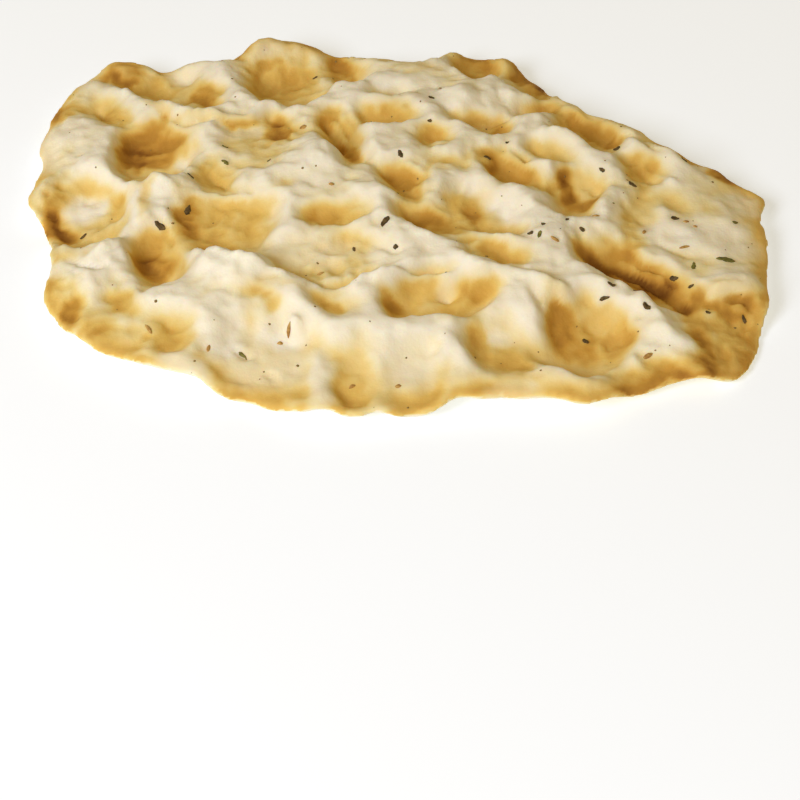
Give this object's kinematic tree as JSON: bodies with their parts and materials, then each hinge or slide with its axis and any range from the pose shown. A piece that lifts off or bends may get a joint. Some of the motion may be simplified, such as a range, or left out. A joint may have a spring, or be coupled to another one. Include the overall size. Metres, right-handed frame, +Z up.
{
  "type": "stone-baked flatbread",
  "caption": "Thin crisp oval flatbread with rounded stone prints, pale puffed ridges, a wavy pinched edge and herb flakes baked into the crust; lies flat on a table or plate.",
  "frame": {"origin": "on the table, under the middle of the bread's box", "axes": "+X along the bread's length, +Y to its back edge, +Z up out of the side with the stone prints"},
  "size_m": [0.176, 0.14, 0.0173],
  "materials": {
    "crust": "matt baked dough, cream on the ridges and golden brown in the stone prints",
    "herb": "dried herb flakes, dull dark green to dark brown",
    "seed": "toasted seeds and stalks, dull brown"
  },
  "bodies": {
    "root": {"flatbread": "crust"}
  },
  "joints": []
}
